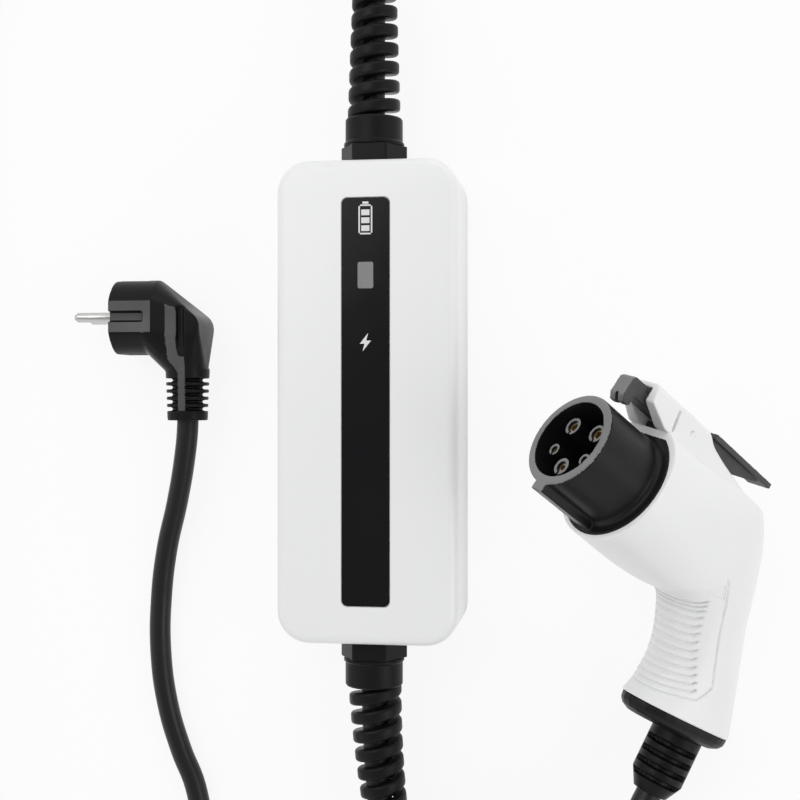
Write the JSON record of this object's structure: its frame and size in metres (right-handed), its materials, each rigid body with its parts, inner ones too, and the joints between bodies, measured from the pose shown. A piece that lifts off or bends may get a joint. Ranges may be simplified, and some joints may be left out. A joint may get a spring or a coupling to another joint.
{
  "type": "portable ev charger",
  "caption": "Portable car charger: control box with spiral cord glands, a mains plug on one lead and, on a coiled lead, a hand-held connector with a sprung latch.",
  "frame": {"origin": "middle of the control box's back, on the floor it lies on", "axes": "+Z out of the box's front, +Y along the box towards the mains lead, +X towards the hand-held connector"},
  "size_m": [0.4039, 0.626, 0.1071],
  "materials": {
    "white_shell": "gloss",
    "black_label": "gloss",
    "grey_lens": "gloss",
    "black_plastic": "satin",
    "plug_rubber": "matt",
    "cord_rubber": "satin",
    "seal_rubber": "matt",
    "tie_tape": "matt",
    "grey_plastic": "satin",
    "steel": "satin",
    "contact_brass": "satin",
    "board_green": "satin",
    "part_blue": "satin",
    "part_orange": "satin",
    "led_clear": "gloss"
  },
  "bodies": {
    "charger": {"box_front_cover": "white_shell", "box_rear_cover": "white_shell", "gun_housing": "white_shell", "gun_top_cover": "white_shell", "label_panel": "black_label", "indicator_lens": "grey_lens", "mains_gland_body": "black_plastic", "mains_gland_locknut": "black_plastic", "mains_gland_nut": "black_plastic", "vehicle_gland_body": "black_plastic", "vehicle_gland_locknut": "black_plastic", "vehicle_gland_nut": "black_plastic", "gun_nose": "black_plastic", "contact_carrier": "black_plastic", "contact_sleeves": "black_plastic", "gun_end_cap": "black_plastic", "latch_switch": "black_plastic", "power_module": "black_plastic", "plug_body": "plug_rubber", "cord_boot": "plug_rubber", "mains_cord": "cord_rubber", "vehicle_cord_feed": "cord_rubber", "vehicle_coil": "cord_rubber", "vehicle_cord_lead": "cord_rubber", "box_gasket": "seal_rubber", "mains_gland_seal": "seal_rubber", "vehicle_gland_seal": "seal_rubber", "coil_tie": "tie_tape", "box_screws": "steel", "board_screws": "steel", "plug_pins": "steel", "plug_earth_contacts": "steel", "latch_pin": "steel", "latch_spring": "steel", "power_contacts": "contact_brass", "signal_contacts": "contact_brass", "circuit_board": "board_green", "mains_terminals": "board_green", "vehicle_terminals": "board_green", "power_relays": "part_blue", "filter_capacitors": "part_blue", "leakage_sensor": "part_orange", "indicator_led": "led_clear"},
    "latch": {"latch_lever": "grey_plastic"}
  },
  "joints": [
    {"name": "latch_rock", "type": "hinge", "parent": "charger", "child": "latch", "pos_m": [0.13869, -0.0126, 0.05469], "axis": [-0.6043, 0.1732, -0.7777], "range_deg": [0, 7], "stiffness_Nm_per_rad": 2, "springref_deg": -5.73, "deforming": ["latch_spring"]}
  ]
}
